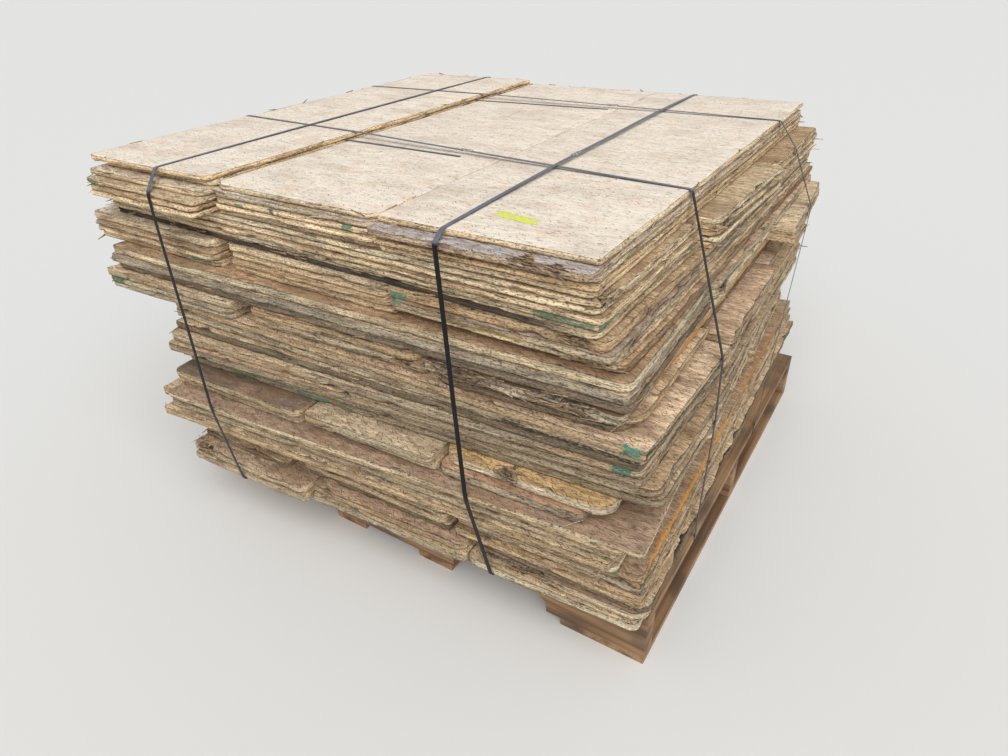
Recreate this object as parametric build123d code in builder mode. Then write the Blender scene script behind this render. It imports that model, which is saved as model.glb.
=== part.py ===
"""Strapped stack of oriented strand board panels on its timber pallet.

The panels are offcuts about 406 x 1219 mm that lie three side by side. Courses whose panels run
front to back take turns with courses whose panels run left to right, each course has slipped and
turned a little, and four flat straps hold the stack and the pallet's deck together.
X runs right along the front, Y runs away from the viewer, Z is up, the origin is on the floor
under the middle of the stack. Millimetres.
"""
from build123d import *
import math
import os

os.makedirs("parts", exist_ok=True)

# Panel stock: three board thicknesses, and the length and width of a full panel
thin = 11.1
medium = 15.1
thick = 18.3
full_length = 1219.0
full_width = 406.0
corner_radii = (9.0, 14.0, 20.0)
sheet_gap = 0.3
row_gap = 5.0

# Pallet: stringers run left to right, deck boards run front to back
pallet_length = 1219.0
pallet_depth = 1067.0
pallet_right = 532.0
pallet_front = -4.0
stringer_height = 89.0
stringer_thickness = 38.0
notch_length = 228.0
notch_depth = 38.0
notch_radius = 24.0
notch_inset = 207.0
deck_thickness = 17.5
deck_width = 89.0
deck_count = 7
deck_slips = (0.0, -30.0, -34.0, 9.0, 22.0, 11.0, 0.0)
lead_width = 175.0
leg_inset = 6.0
timber_gap = 0.3

# Straps: flat bands that go round the stack at a small clearance
strap_width = 16.0
strap_thickness = 1.0
strap_clearance = 0.5
seal_length = 46.0
seal_width = 21.0
seal_thickness = 1.2
seal_clearance = 0.3
tail_turn = 2.0

# Where the pallet's parts stand
pallet_height = 2 * deck_thickness + stringer_height + 2 * timber_gap
pallet_left = pallet_right - pallet_length
stringer_base = deck_thickness + timber_gap
deck_base = stringer_base + stringer_height + timber_gap
deck_pitch = (pallet_length - deck_width) / (deck_count - 1)
deck_lefts = [pallet_left + number * deck_pitch + deck_slips[number]
              for number in range(deck_count)]
stringer_fronts = {
    "stringer_front": pallet_front,
    "stringer_middle": pallet_front + (pallet_depth - stringer_thickness) / 2,
    "stringer_back": pallet_front + pallet_depth - stringer_thickness,
}


def slip(across=0.0, away=0.0, turn=0.0, cut=0.0, slant=0.0, stop=None, radius=None):
    """How one panel lies in its place: moved right and back, turned in degrees, with some cut
    off its left side, its far right corner moved right, its length cut short and its corner
    radius."""
    return dict(across=across, away=away, turn=turn, cut=cut, slant=slant, stop=stop,
                radius=radius)


def columns_course(name, corner, turn, thicknesses, *columns):
    """Panels that run front to back: each column has its name, its left and right edge, its
    panels' slips, lowest first, and how many levels lie below them."""
    strips = [(part, left, right, 0.0, full_length, slips, under)
              for part, left, right, slips, under in columns]
    return dict(name=name, corner=corner, turn=turn, thicknesses=thicknesses, strips=strips,
                worn={part: "front" for part, *rest in columns})


def rows_course(name, corner, thicknesses, length, width, slips, rear_turn, middle, back):
    """Panels that run left to right, in three rows. The two rear rows are turned no more than
    rear_turn, so that they stay clear of the front row, which turns about its right end."""
    furthest = max(move["away"] for move in slips)
    strips = [("front", -length, 0.0, 0.0, width, slips, 0)]
    for number, part, rear in ((1, "middle", middle), (2, "back", back)):
        near = number * (width + row_gap) + furthest
        moves = [slip(across, 0.0, min(move["turn"], rear_turn), slant=slant)
                 for move, (across, slant) in zip(slips, rear)]
        strips.append((part, -length, 0.0, near, near + width, moves, 0))
    return dict(name=name, corner=corner, turn=0.0, thicknesses=thicknesses, strips=strips,
                worn={"front": "front", "middle": "right", "back": "back"})


# The courses, lowest first. A course is placed by its near right corner, measured from the front
# seam between the middle and right columns on top, and by its turn in degrees.
courses = [
    columns_course(
        "course_01", (532.0, -40.0), 3.0, [thick, thick],
        ("left", -1121.0, -761.0, [slip(6, -24), slip(0, -22)], 0),
        ("middle", -751.0, -357.0, [slip(0, -8), slip(-5, 0)], 0),
        ("right", -350.0, 0.0, [slip(-4, -4, radius=16), slip(6, 4, slant=-20, radius=30)], 0)),
    columns_course(
        "course_02", (524.0, -31.0), 1.9, [medium, thick, thick, thick],
        ("left", -1171.0, -832.0, [slip(0, -12, cut=62), slip(22, 4, cut=30), slip(8, 8),
                                   slip(30, -6)], 0),
        ("middle", -792.0, -408.0, [slip(8, 4), slip(0, 0), slip(-6, 5), slip(4, 12)], 0),
        ("right", -386.0, 0.0, [slip(18, 0, cut=8, radius=26), slip(6, -6), slip(2, 4),
                                slip(-5, 12)], 0)),
    rows_course(
        "course_03", (533.0, -62.0), [medium, thick, thick, thick, thick, thin],
        full_length - 123, full_width - 20,
        [slip(-52, 30, 4.2), slip(-60, 18, 4.6), slip(-46, 28, 4.4), slip(-38, 24, 4.2),
         slip(-44, 20, 4.5), slip(0, 0, 4.6)], 4.2,
        [(-14, 0), (-8, 0), (4, 0), (-4, 0), (6, 0), (2, 0)],
        [(6, 0), (12, 0), (16, 0), (8, 0), (4, 0), (-2, 0)]),
    columns_course(
        "course_04", (464.0, -37.0), 2.5, [thick, thick],
        ("left", -1036.0, -662.0, [slip(-4, -22), slip(0, -30)], 0),
        ("middle", -650.0, -342.0, [slip(4, -12), slip(0, -26)], 0),
        ("right", -334.0, 0.0, [slip(-44, -14, cut=44, radius=20), slip(0, 0, radius=40)], 0)),
    rows_course(
        "course_05", (508.0, -26.0), [thick] * 7, full_length - 107, full_width - 24,
        [slip(26, 26, 3.6, cut=-10, slant=20, radius=36),
         slip(18, 24, 3.9, cut=-10, slant=24, radius=28),
         slip(-8, 26, 5.2, cut=22, slant=40), slip(-12, 22, 4.3, cut=26, slant=36),
         slip(-12, 16, 2.8, cut=24, slant=28), slip(-8, 8, 1.4, slant=20),
         slip(0, 0, 1.0, slant=18, radius=8)], 2.0,
        [(10, 0), (16, 0), (8, 0), (12, 0), (10, 0), (14, -6), (14, -10)],
        [(12, 0), (6, 0), (14, 0), (10, 0), (4, 0), (8, 0), (-14, -4)]),
    columns_course(
        "course_06", (470.0, -14.0), 2.5, [medium, medium, thick],
        ("left", -1270.0, -864.0, [slip(-8, 8), slip(-4, 2), slip(0, 0)], 0),
        ("middle", -808.0, -392.0, [slip(6, 18), slip(4, 4), slip(0, 0)], 0),
        ("right", -364.0, 0.0, [slip(-6, 6, slant=30, radius=38),
                                slip(14, 20, slant=6, stop=335, radius=36),
                                slip(-4, -14, slant=39, radius=14)], 0),
        ("rear", -364.0, -4.0, [slip(-6, 364, slant=22, stop=full_length - 364)], 1)),
    rows_course(
        "course_07", (470.0, -24.0), [thick] * 3, full_length + 25, full_width - 4,
        [slip(4, 4, 1.6), slip(0, 0, 1.8), slip(2, 2, 1.7, radius=22)], 1.8,
        [(10, 0), (14, 8), (13, 12)], [(76, -16), (78, -18), (30, 3)]),
    columns_course(
        "course_08", (450.0, -22.0), 0.3, [medium, thin, thin, thick],
        ("left", -1306.0, -888.0, [slip(14, 0), slip(10, -8), slip(4, -4), slip(0, 2)], 0),
        ("middle", -852.0, -436.0, [slip(12, 8), slip(8, 4), slip(2, 10), slip(0, 14)], 0),
        ("right", -416.0, 0.0, [slip(8, 18, slant=10, radius=22), slip(-2, 0, slant=14),
                                slip(-6, -6, slant=12), slip(-16, 0, slant=22)], 0)),
    rows_course(
        "course_09", (420.0, -20.0), [thin] * 5, full_length, full_width,
        [slip(0, -4, -1.0), slip(-2, 2, -0.6), slip(2, 0, -0.5), slip(-4, 3, -0.6),
         slip(0, 5, -0.4)], -1.0,
        [(22, 4), (28, 6), (25, 2), (31, 8), (28, 6)],
        [(14, -2), (20, -4), (12, 0), (22, -6), (18, -4)]),
    columns_course(
        "course_10", (full_width, 0.0), 0.0, [thin] * 5,
        ("left", -1234.0, -828.0,
         [slip(6, -60, cut=54), slip(6, -58, cut=50, radius=20), slip(8, -54, cut=42),
          slip(6, -33, cut=16, radius=24), slip(6, 2, cut=40), slip(0, -10, radius=26)], 0),
        ("middle", -815.0, -409.0,
         [slip(2, -8), slip(1, -16), slip(0, -14), slip(-1, -12, radius=22),
          slip(0, -2, radius=26)], 0),
        ("right", -full_width, 0.0,
         [slip(0, -12), slip(2, -14), slip(0, -8), slip(3, -34, radius=12),
          slip(0, 0, radius=8)], 0)),
]

# Straps: where each starts and ends on top, and how it wanders on its way down, as
# (height above the floor, sideways place at the near end) from the top to the lowest panels
front_back_straps = {
    "strap_left": ((-575.0, 0.0), (-580.0, full_length),
                   [(790, -575), (755, -549), (330, -410),
                    (124, deck_lefts[1] + deck_width + 30)]),
    "strap_right": ((137.0, 0.0), (112.0, full_length),
                    [(779, 137), (767, 146), (330, 210), (124, deck_lefts[5] - 31)]),
}
left_right_straps = {
    "strap_near": ((-828.0, 432.0), (406.0, 358.0),
                   [(779, 358), (502, 302), (390, 267), (170, 234),
                    (106, stringer_fronts["stringer_middle"] - 260)]),
    "strap_far": ((-828.0, 922.0), (406.0, 969.0),
                  [(779, 969), (721, 955), (590, 972), (570, 958),
                   (106, stringer_fronts["stringer_middle"] + 145)]),
}
# How far along the top from a strap's start its seal sits, and how long its loose tail is
seal_places = {"strap_right": 470.0, "strap_near": 738.0, "strap_far": 808.0}
tail_lengths = {"strap_near": 330.0, "strap_far": 400.0}


class Panel:
    """One board: its four corners seen from above, anticlockwise from the near left one, and its
    two faces."""

    def __init__(self, corner, turn, corners, bottom, thickness, radius, worn_side):
        self.corner, self.turn, self.corners = corner, turn, corners
        self.bottom, self.thickness = bottom, thickness
        self.radius, self.worn_side = radius, worn_side

    def place(self, across, away):
        """The point of the shared frame at a place in the course."""
        angle = math.radians(self.turn)
        x = self.corner[0] + across * math.cos(angle) - away * math.sin(angle)
        y = self.corner[1] + across * math.sin(angle) + away * math.cos(angle)
        return x, y

    def reach(self, start, direction):
        """How far along a level line from start the line enters and leaves the board."""
        corners = [self.place(*corner) for corner in self.corners]
        enter, leave = -math.inf, math.inf
        for here, after in zip(corners, corners[1:] + corners[:1]):
            outward = (after[1] - here[1], here[0] - after[0])
            gap = (here[0] - start[0]) * outward[0] + (here[1] - start[1]) * outward[1]
            speed = direction[0] * outward[0] + direction[1] * outward[1]
            if speed > 0:
                leave = min(leave, gap / speed)
            elif speed < 0:
                enter = max(enter, gap / speed)
            elif gap < 0:
                return None
        return (enter, leave) if enter < leave else None


def lay_panels():
    """Every board as a Panel, in groups that each become one named sub-part."""
    groups = {}
    level = pallet_height + sheet_gap
    for course in courses:
        thicknesses = course["thicknesses"]
        for part, left, right, front, back, slips, under in course["strips"]:
            bottom = level + sum(thickness + sheet_gap for thickness in thicknesses[:under])
            panels = []
            for number, move in enumerate(slips, under):
                thickness = thicknesses[min(number, len(thicknesses) - 1)]
                near = front + move["away"]
                far = near + move["stop"] if move["stop"] else back + move["away"]
                west, east = left + move["across"] + move["cut"], right + move["across"]
                corners = [(west, near), (east, near), (east + move["slant"], far), (west, far)]
                radius = move["radius"] or corner_radii[(number + len(part)) % len(corner_radii)]
                panels.append(Panel(course["corner"], course["turn"] + move["turn"], corners,
                                    bottom, thickness, radius, course["worn"][part]))
                bottom += thickness + sheet_gap
            groups[course["name"] + "_" + part] = panels
        level += sum(thickness + sheet_gap for thickness in thicknesses)
    return groups


def hull(points):
    """The convex outline of points in a plane, anticlockwise (monotone chain)."""
    points = sorted(set(points))

    def half(run):
        chain = []
        for point in run:
            while len(chain) > 1 and cross(chain[-2], chain[-1], point) <= 0:
                chain.pop()
            chain.append(point)
        return chain[:-1]

    def cross(a, b, c):
        return (b[0] - a[0]) * (c[1] - a[1]) - (b[1] - a[1]) * (c[0] - a[0])

    return half(points) + half(points[::-1])


groups = lay_panels()
every_panel = [panel for panels in groups.values() for panel in panels]
stack_top = max(panel.bottom + panel.thickness for panel in every_panel)
top_level = stack_top - thin - sheet_gap

pieces = {}

# Boards: the two corners at a board's outer end are worn round
outer_ends = {"front": (Axis.Y, slice(0, 2)), "back": (Axis.Y, slice(2, 4)),
              "right": (Axis.X, slice(2, 4))}
for group_name, panels in groups.items():
    with BuildPart() as boards:
        for panel in panels:
            plane = Plane((*panel.corner, panel.bottom)).rotated((0, 0, panel.turn))
            with BuildSketch(plane):
                Polygon(*panel.corners, align=None)
                axis, ends = outer_ends[panel.worn_side]
                fillet(vertices().sort_by(axis)[ends], panel.radius)
            extrude(amount=panel.thickness)
    pieces[group_name] = boards.part

# Pallet stringers: two fork notches in the lower edge of each, with round upper corners
notch_centres = [pallet_left + notch_inset + notch_length / 2,
                 pallet_right - notch_inset - notch_length / 2]
for stringer_name, front in stringer_fronts.items():
    with BuildPart() as stringer:
        with BuildSketch(Plane.XZ.offset(-front)):
            with Locations(((pallet_left + pallet_right) / 2, stringer_base)):
                Rectangle(pallet_length, stringer_height, align=(Align.CENTER, Align.MIN))
            for centre in notch_centres:
                with BuildSketch(Plane.XZ.offset(-front), mode=Mode.PRIVATE) as notch:
                    with Locations((centre, stringer_base)):
                        Rectangle(notch_length, 2 * notch_depth)
                    fillet(notch.vertices(), notch_radius)
                add(notch.sketch, mode=Mode.SUBTRACT)
        extrude(amount=-stringer_thickness)
    pieces[stringer_name] = stringer.part

# Deck boards above the stringers, and bottom boards below: wide ones at both ends, and one under
# each end of the stringers' middle leg
leg_left = notch_centres[0] + notch_length / 2
leg_right = notch_centres[1] - notch_length / 2
boards_across = {"deck_board_%d" % (number + 1): (left, deck_width, deck_base)
                 for number, left in enumerate(deck_lefts)}
boards_across["bottom_board_1"] = (pallet_left, lead_width, 0.0)
boards_across["bottom_board_2"] = (leg_left + leg_inset, deck_width, 0.0)
boards_across["bottom_board_3"] = (leg_right - leg_inset - deck_width, deck_width, 0.0)
boards_across["bottom_board_4"] = (pallet_right - lead_width, lead_width, 0.0)
for board_name, (left, width, base) in boards_across.items():
    with BuildPart() as board:
        with BuildSketch(Plane.XY.offset(base)):
            with Locations((left, pallet_front)):
                Rectangle(width, pallet_depth, align=Align.MIN)
        extrude(amount=deck_thickness)
    pieces[board_name] = board.part


def strap_course(top_start, top_end, sway, along_x, crossed):
    """A taut strap as its bends in space, and its direction seen from above.

    The strap only touches edges, so it follows the convex outline of the stack's section. The
    section's level lines move sideways with height by the strap's sway. On top it passes over
    the crossed straps, each given by its bends. A bend is the middle of the strap there and the
    step that moves the straight runs on both sides of it outwards by one millimetre.
    """
    length = math.dist(top_start, top_end)
    direction = ((top_end[0] - top_start[0]) / length, (top_end[1] - top_start[1]) / length)
    sideways = (-direction[1], direction[0])

    def line_start(height, edge=0.0):
        """Where the strap's level line, or the line of one of its edges, starts."""
        for (upper, first), (lower, second) in zip(sway, sway[1:]):
            if height >= lower:
                break
        place = second + (first - second) * (max(min(height, upper), lower) - lower) / (upper - lower)
        shift = place - sway[0][1]
        x, y = top_start[0] + sideways[0] * edge, top_start[1] + sideways[1] * edge
        return (x, y + shift) if along_x else (x + shift, y)

    def along(x, height):
        """How far along the strap's level line a place across the stack is."""
        return (x - line_start(height)[0]) / direction[0]

    section = []
    for panel in every_panel:
        for height in (panel.bottom, panel.bottom + panel.thickness):
            for edge in (-strap_width / 2, 0.0, strap_width / 2):
                reach = panel.reach(line_start(height, edge), direction)
                if reach:
                    section += [(reach[0], height), (reach[1], height)]
    if along_x:
        for height in (deck_base, deck_base + deck_thickness):
            section.append((along(deck_lefts[0], height), height))
            section.append((along(deck_lefts[-1] + deck_width, height), height))
    for below in crossed:
        at, height = crossing(top_start, direction, below)
        for side in (-strap_width / 2, strap_width / 2):
            section.append((at + side, height + strap_thickness / 2))
    outline = hull(section)
    bends = []
    for corner, step in zip(outline, outward_steps(outline)):
        distance = corner[0] + step[0] * (strap_clearance + strap_thickness / 2)
        height = corner[1] + step[1] * (strap_clearance + strap_thickness / 2)
        x, y = line_start(height)
        bends.append((Vector(x + distance * direction[0], y + distance * direction[1], height),
                      Vector(step[0] * direction[0], step[0] * direction[1], step[1])))
    return bends, Vector(direction[0], direction[1], 0)


def crossing(start, direction, below):
    """How far along a front-to-back strap it meets a left-to-right one on top, and at what
    height."""
    for (here, _), (after, _) in zip(below, below[1:] + below[:1]):
        run = (after.X - here.X, after.Y - here.Y)
        turn = run[0] * direction[1] - run[1] * direction[0]
        share = ((start[0] - here.X) * direction[1] - (start[1] - here.Y) * direction[0]) / turn
        height = here.Z + share * (after.Z - here.Z)
        if 0 <= share <= 1 and height > top_level:
            return math.dist(start, (here.X + share * run[0], here.Y + share * run[1])), height
    raise ValueError("the straps do not cross on top")


def outward_steps(outline):
    """For each corner of an outline, the step that moves both its sides outwards by one."""
    steps = []
    for number, here in enumerate(outline):
        before, after = outline[number - 1], outline[(number + 1) % len(outline)]
        first = Vector(here[0] - before[0], here[1] - before[1]).normalized()
        second = Vector(after[0] - here[0], after[1] - here[1]).normalized()
        outward = Vector(first.Y, -first.X)
        bisector = (outward + Vector(second.Y, -second.X)).normalized()
        share = 1 / bisector.dot(outward)
        steps.append((bisector.X * share, bisector.Y * share))
    return steps


laid = {}
for strap_name, (first, last, sway) in {**left_right_straps, **front_back_straps}.items():
    lengthwise = strap_name in left_right_straps
    crossed = [] if lengthwise else [laid[other] for other in left_right_straps]
    bends, direction = strap_course(first, last, sway, lengthwise, crossed)
    laid[strap_name] = bends
    runs = list(zip(bends, bends[1:] + bends[:1]))
    sideways = Vector(-direction.Y, direction.X, 0)
    with BuildPart() as strap:
        for run in runs:
            for middle, step in run:
                with BuildSketch(Plane(middle, x_dir=sideways, z_dir=sideways.cross(step))):
                    Rectangle(strap_width, strap_thickness * step.length)
            loft(ruled=True)
        if strap_name in tail_lengths:
            # The loose tail lies on the middle column in front of the band
            place = Vector(*first) + direction * seal_places[strap_name]
            place = Vector(place.X, place.Y - seal_width, top_level + strap_clearance)
            tail = Plane(place, x_dir=direction, z_dir=(0, 0, 1)).rotated((0, 0, tail_turn))
            with BuildSketch(tail):
                with Locations((-tail_lengths[strap_name] / 2, 0)):
                    Rectangle(tail_lengths[strap_name], strap_width)
            extrude(amount=strap_thickness)
    pieces[strap_name] = strap.part

    if strap_name in seal_places:
        # Seal: a sleeve pressed over the band, open underneath
        place = seal_places[strap_name]
        for (start, _), (end, _) in runs:
            reached = [(point - Vector(*first)).dot(direction) for point in (start, end)]
            if min(reached) < place < max(reached) and min(start.Z, end.Z) > top_level:
                break
        middle = start + (end - start) * ((place - reached[0]) / (reached[1] - reached[0]))
        sleeve = Plane(middle, x_dir=end - start, z_dir=sideways.cross(end - start))
        lip = (seal_width - strap_width) / 2 - seal_clearance
        with BuildPart() as seal:
            with BuildSketch(sleeve.offset(strap_thickness / 2 + seal_clearance)):
                Rectangle(seal_length, seal_width)
            extrude(amount=seal_thickness)
            with BuildSketch(sleeve.offset(-strap_thickness / 2)):
                for side in (-1, 1):
                    with Locations((0, side * (seal_width - lip) / 2)):
                        Rectangle(seal_length, lip)
            extrude(amount=strap_thickness + seal_clearance)
        pieces[strap_name.replace("strap", "strap_seal")] = seal.part

# Centre the stack over the origin, then label and write every sub-part
boxes = [part.bounding_box() for part in pieces.values()]
middle_x = (min(box.min.X for box in boxes) + max(box.max.X for box in boxes)) / 2
middle_y = (min(box.min.Y for box in boxes) + max(box.max.Y for box in boxes)) / 2
for name, part in pieces.items():
    centred = part.moved(Location((-middle_x, -middle_y, 0)))
    centred.label = name
    export_step(centred, "parts/" + name + ".step")
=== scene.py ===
"""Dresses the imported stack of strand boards: ragged board edges, pallet timber, straps and light.

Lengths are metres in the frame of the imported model: X to the right along the front, Y away from
the viewer, Z up, the origin on the floor under the stack.
"""

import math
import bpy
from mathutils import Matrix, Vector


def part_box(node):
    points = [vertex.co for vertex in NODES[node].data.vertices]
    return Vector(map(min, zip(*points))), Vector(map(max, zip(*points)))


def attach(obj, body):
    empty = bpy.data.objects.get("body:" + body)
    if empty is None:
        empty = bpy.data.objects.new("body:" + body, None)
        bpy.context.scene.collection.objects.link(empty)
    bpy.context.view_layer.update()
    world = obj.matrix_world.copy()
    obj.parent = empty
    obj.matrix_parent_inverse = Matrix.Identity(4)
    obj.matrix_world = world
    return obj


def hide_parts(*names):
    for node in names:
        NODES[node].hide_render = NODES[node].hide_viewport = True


bl_info = {
    "name": "Strapped Board Stack",
    "version": (1, 0, 0),
    "blender": (4, 5, 0),
    "location": "View3D > Sidebar > Board Stack",
    "description": "Dresses the stack of strand boards, its pallet and its straps",
    "category": "Object",
}

import bpy
import numpy as np
from bpy.props import FloatProperty, FloatVectorProperty, PointerProperty
from mathutils import Matrix, Vector

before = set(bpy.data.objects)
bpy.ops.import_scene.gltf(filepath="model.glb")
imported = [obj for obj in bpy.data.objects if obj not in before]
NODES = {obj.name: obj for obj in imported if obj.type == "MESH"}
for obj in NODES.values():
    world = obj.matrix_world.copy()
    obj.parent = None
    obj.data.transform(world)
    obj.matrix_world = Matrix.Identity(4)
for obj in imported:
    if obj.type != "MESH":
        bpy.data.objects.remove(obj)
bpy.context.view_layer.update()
BOARD_NODES = sorted(name for name in NODES if name.startswith("course_"))
DECK_NODES = sorted(name for name in NODES if name.startswith(("deck_", "bottom_")))
STRINGER_NODES = sorted(name for name in NODES if name.startswith("stringer_"))
SEAL_NODES = sorted(name for name in NODES if name.startswith("strap_seal_"))
STRAP_NODES = sorted(name for name in NODES
                     if name.startswith("strap_") and name not in SEAL_NODES)

# The sides of a pile that show, by the last word of its node's name and by how its boards run
FRONT, BACK, LEFT, RIGHT = (0.0, -1.0), (0.0, 1.0), (-1.0, 0.0), (1.0, 0.0)
OPEN_SIDES = {
    ("columns", "left"): (FRONT, BACK, LEFT),
    ("columns", "middle"): (FRONT, BACK),
    ("columns", "right"): (FRONT, BACK, RIGHT),
    ("columns", "rear"): (BACK, RIGHT),
    ("rows", "front"): (FRONT, LEFT, RIGHT),
    ("rows", "middle"): (LEFT, RIGHT),
    ("rows", "back"): (BACK, LEFT, RIGHT),
}


def linear(shades):
    """Screen values from 0 to 255 as the linear values that nodes and attributes take."""
    values = np.asarray(shades, float) / 255.0
    return np.where(values <= 0.04045, values / 12.92, ((values + 0.055) / 1.055) ** 2.4)


def colour(red, green, blue):
    """One colour given in screen values, as a node's four numbers."""
    return (*linear((red, green, blue)).tolist(), 1.0)


# What a board's cut edge is tinted with, picked board by board and mixed along the edge
EDGE_TINTS = linear([(252, 230, 192), (246, 218, 176), (234, 202, 158), (222, 186, 140),
                     (208, 190, 162), (242, 224, 188)])
# How light the cut edges of each course are, from the weathered lowest one to the top one
COURSE_LIGHT = (0.82, 0.82, 0.88, 0.84, 0.78, 0.84, 0.92, 0.98, 0.98, 1.08)
# The upper faces that show as ledges, darker than the top's cream for their weathering and dirt
# together with painted shade: the usual ones, then boards of their own
LEDGE_TINTS_AND_SHADE = linear([(218, 192, 154), (226, 204, 168), (204, 176, 138), (210, 188, 152),
                      (196, 168, 130)])
CREAM_FACE = linear((244, 232, 215))
FACE_TINTS_AND_SHADE = {
    ("course_10_right", 3): (190, 182, 178), ("course_10_middle", 3): (212, 200, 182),
    ("course_10_left", 3): (224, 206, 180), ("course_08_right", 2): (178, 160, 140),
    ("course_08_left", 3): (228, 212, 186), ("course_06_right", 2): (88, 66, 52),
    ("course_06_left", 2): (226, 200, 160), ("course_06_middle", 2): (196, 162, 128),
    ("course_05_front", 6): (230, 202, 168), ("course_05_middle", 6): (222, 192, 160),
    ("course_05_back", 6): (228, 202, 170), ("course_04_left", 1): (124, 108, 92),
    ("course_04_middle", 1): (208, 188, 156), ("course_04_right", 1): (212, 176, 122),
    ("course_04_right", 0): (208, 168, 136), ("course_03_front", 5): (172, 146, 122),
    ("course_02_left", 3): (152, 138, 120), ("course_02_middle", 3): (180, 158, 128),
    ("course_02_right", 3): (184, 156, 126), ("course_01_left", 1): (202, 178, 150),
    ("course_01_middle", 1): (198, 170, 142), ("course_01_right", 1): (176, 144, 122),
    ("course_07_front", 2): (190, 158, 122), ("course_07_middle", 2): (214, 184, 148),
    ("course_07_back", 2): (230, 200, 166),
}
# Boards whose whole cut edge has a colour of its own, with how much of it shows
EDGE_COATS = {
    ("course_09_front", 0): (50, 42, 36, 1.0), ("course_05_front", 4): (100, 86, 66, 0.7),
    ("course_10_right", 3): (196, 156, 124, 0.4), ("course_10_middle", 3): (196, 182, 160, 0.6),
    ("course_08_right", 2): (172, 154, 132, 0.6),
    ("course_08_right", 0): (112, 80, 52, 0.6), ("course_06_right", 2): (226, 206, 176, 0.6),
    ("course_05_front", 1): (190, 176, 152, 0.6), ("course_05_front", 0): (146, 138, 112, 0.6),
    ("course_04_left", 1): (206, 178, 132, 0.5), ("course_03_front", 2): (170, 160, 138, 0.5),
    ("course_02_right", 0): (120, 96, 72, 0.75), ("course_02_middle", 0): (110, 88, 64, 0.75),
    ("course_02_left", 0): (132, 102, 70, 0.75), ("course_07_front", 0): (118, 92, 66, 0.6),
    ("course_05_front", 2): (126, 98, 70, 0.6), ("course_06_right", 0): (122, 96, 68, 0.6),
}
# Boards whose coat ends at a distance right of the seam, the length over which it fades there,
# and a distance that no board reaches, for the coats that don't end
COAT_ENDS = {("course_09_front", 0): 0.30, ("course_08_right", 2): 0.20}
COAT_FADE = 0.12
NO_END = 9.0
TEAL, INK, AMBER, ORANGE = (74, 132, 104), (36, 34, 32), (206, 168, 36), (214, 150, 58)
# Paint marks: board, the side it is on, from where to where along it, rows of the edge from
# 0 at the bottom to 1 at the top, and the paint. Metres from the front seam of the two right
# columns on top, to the right for the front and away from the viewer for the right side.
PAINT_MARKS = (
    ("course_10_left", 2, FRONT, -0.785, -0.725, 0.0, 1.0, (86, 112, 70)),
    ("course_10_middle", 2, FRONT, -0.350, -0.313, 0.0, 0.7, TEAL),
    ("course_10_middle", 2, FRONT, -0.288, -0.276, 0.0, 1.0, TEAL),
    ("course_10_middle", 2, FRONT, -0.254, -0.232, 0.0, 1.0, (70, 92, 96)),
    ("course_10_middle", 2, FRONT, -0.075, -0.040, 0.0, 1.0, TEAL),
    ("course_10_right", 2, FRONT, 0.328, 0.378, 0.0, 0.9, TEAL),
    ("course_09_front", 1, FRONT, 0.300, 0.412, 0.0, 1.0, (112, 138, 108)),
    ("course_09_front", 1, RIGHT, -0.02, 0.055, 0.0, 1.0, TEAL),
    ("course_08_left", 0, FRONT, -0.520, -0.445, 0.2, 1.0, (60, 128, 102)),
    ("course_08_right", 3, FRONT, 0.026, 0.072, 0.0, 0.8, TEAL),
    ("course_08_right", 2, FRONT, 0.030, 0.062, 0.5, 1.0, TEAL),
    ("course_08_right", 1, FRONT, 0.130, 0.300, 0.45, 1.0, AMBER),
    ("course_06_left", 1, FRONT, -0.808, -0.735, 0.0, 1.0, (52, 104, 74)),
    ("course_06_left", 2, FRONT, -0.770, -0.700, 0.0, 0.3, (92, 128, 88)),
    ("course_05_front", 6, FRONT, 0.462, 0.500, 0.0, 1.0, (70, 150, 128)),
    ("course_05_front", 6, RIGHT, -0.03, 0.30, 0.0, 0.7, (46, 58, 46)),
    ("course_05_front", 3, FRONT, 0.438, 0.482, 0.0, 1.0, (66, 124, 104)),
    ("course_05_front", 0, FRONT, -0.435, -0.355, 0.0, 0.7, (98, 132, 92)),
    ("course_05_front", 0, FRONT, -0.245, -0.150, 0.0, 0.7, (104, 130, 108)),
    ("course_05_front", 5, FRONT, 0.240, 0.520, 0.0, 0.5, (34, 30, 28)),
    ("course_03_front", 5, FRONT, -0.620, -0.560, 0.0, 1.0, (84, 108, 84)),
    ("course_03_front", 4, FRONT, -0.460, -0.405, 0.0, 1.0, (110, 132, 92)),
    ("course_03_front", 3, FRONT, -0.270, -0.228, 0.0, 1.0, (110, 128, 100)),
    ("course_02_left", 2, FRONT, -0.700, -0.575, 0.0, 1.0, INK),
    ("course_02_left", 2, FRONT, -0.575, -0.400, 0.4, 1.0, INK),
    ("course_02_left", 2, LEFT, -0.20, 0.20, 0.0, 1.0, INK),
    ("course_02_middle", 3, FRONT, 0.012, 0.064, 0.0, 1.0, (92, 130, 104)),
    ("course_02_right", 3, FRONT, 0.378, 0.480, 0.0, 1.0, (96, 138, 112)),
    ("course_02_right", 3, RIGHT, 0.02, 0.52, 0.3, 1.0, ORANGE),
    ("course_02_right", 3, RIGHT, 0.62, 0.98, 0.3, 1.0, (190, 132, 62)),
    ("course_06_right", 2, RIGHT, 0.10, 0.86, 0.0, 0.8, ORANGE),
    ("course_06_rear", 0, RIGHT, 0.36, 1.20, 0.3, 1.0, ORANGE),
)
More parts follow.
